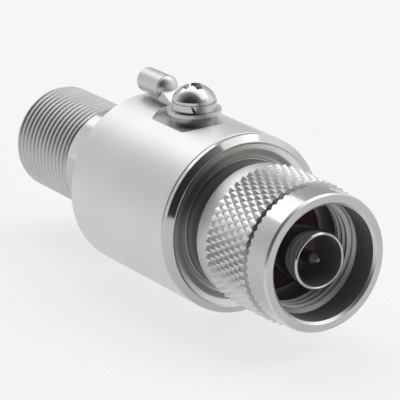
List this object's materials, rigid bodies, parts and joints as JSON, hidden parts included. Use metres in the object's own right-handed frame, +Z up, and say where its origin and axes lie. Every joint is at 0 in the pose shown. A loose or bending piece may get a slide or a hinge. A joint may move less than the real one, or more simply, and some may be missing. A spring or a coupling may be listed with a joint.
{
  "type": "coax lightning arrestor",
  "caption": "In-line coaxial lightning arrestor with a threaded jack, a knurled plug nut and a side ground screw with a wire lug.",
  "frame": {"origin": "on the coax axis where the jack's thread begins, behind its lead-in chamfer", "axes": "+X along the coax axis from the jack to the plug, +Z up along the ground screw"},
  "size_m": [0.0695, 0.0256, 0.0301],
  "materials": {
    "satin_nickel": "satin nickel plate on brass",
    "bright_nickel": "bright nickel plate on brass",
    "zinc_plate": "bright zinc plate on steel",
    "tinned_copper": "matte tin plate on copper",
    "spring_steel": "plain spring steel",
    "gold_plate": "gold plate",
    "silver_plate": "silver plate",
    "insulator": "dark moulded insulator",
    "white_ceramic": "unglazed alumina",
    "seal_rubber": "moulded rubber"
  },
  "bodies": {
    "arrestor": {"housing": "satin_nickel", "front_cap": "bright_nickel", "cap_seal": "seal_rubber", "plug_tube": "bright_nickel", "retaining_ring": "spring_steel", "plug_gasket": "seal_rubber", "plug_bead": "insulator", "centre_pin": "silver_plate", "line_conductor": "silver_plate", "jack_bead": "insulator", "jack_socket": "gold_plate", "gas_tube_shell": "white_ceramic", "gas_tube_lower_electrode": "silver_plate", "gas_tube_upper_electrode": "silver_plate", "disc_springs": "spring_steel", "gas_tube_plug": "satin_nickel", "plug_seal": "seal_rubber"},
    "nut": {"coupling_nut": "bright_nickel"},
    "washer": {"lock_washer": "zinc_plate"},
    "screw": {"ground_screw": "zinc_plate"},
    "lug": {"ground_lug": "tinned_copper"}
  },
  "joints": [
    {"name": "nut_spin", "type": "hinge", "parent": "arrestor", "child": "nut", "pos_m": [0.0598, 0, 0], "axis": [1, 0, 0], "continuous": true},
    {"name": "washer_lift", "type": "slide", "parent": "arrestor", "child": "washer", "axis": [0, 0, 1], "range_m": [0, 0.0018]},
    {"name": "screw_turn", "type": "hinge", "parent": "washer", "child": "screw", "pos_m": [0.0372, 0, 0.012], "axis": [0, 0, 1], "range_deg": [0, 1080]},
    {"name": "lug_swivel", "type": "hinge", "parent": "arrestor", "child": "lug", "pos_m": [0.0372, 0, 0.0135], "axis": [0, 0, 1], "continuous": true}
  ],
  "couplings": [
    {"joint": "screw_turn", "follows": "washer_lift", "rad_per_m": 10472}
  ]
}
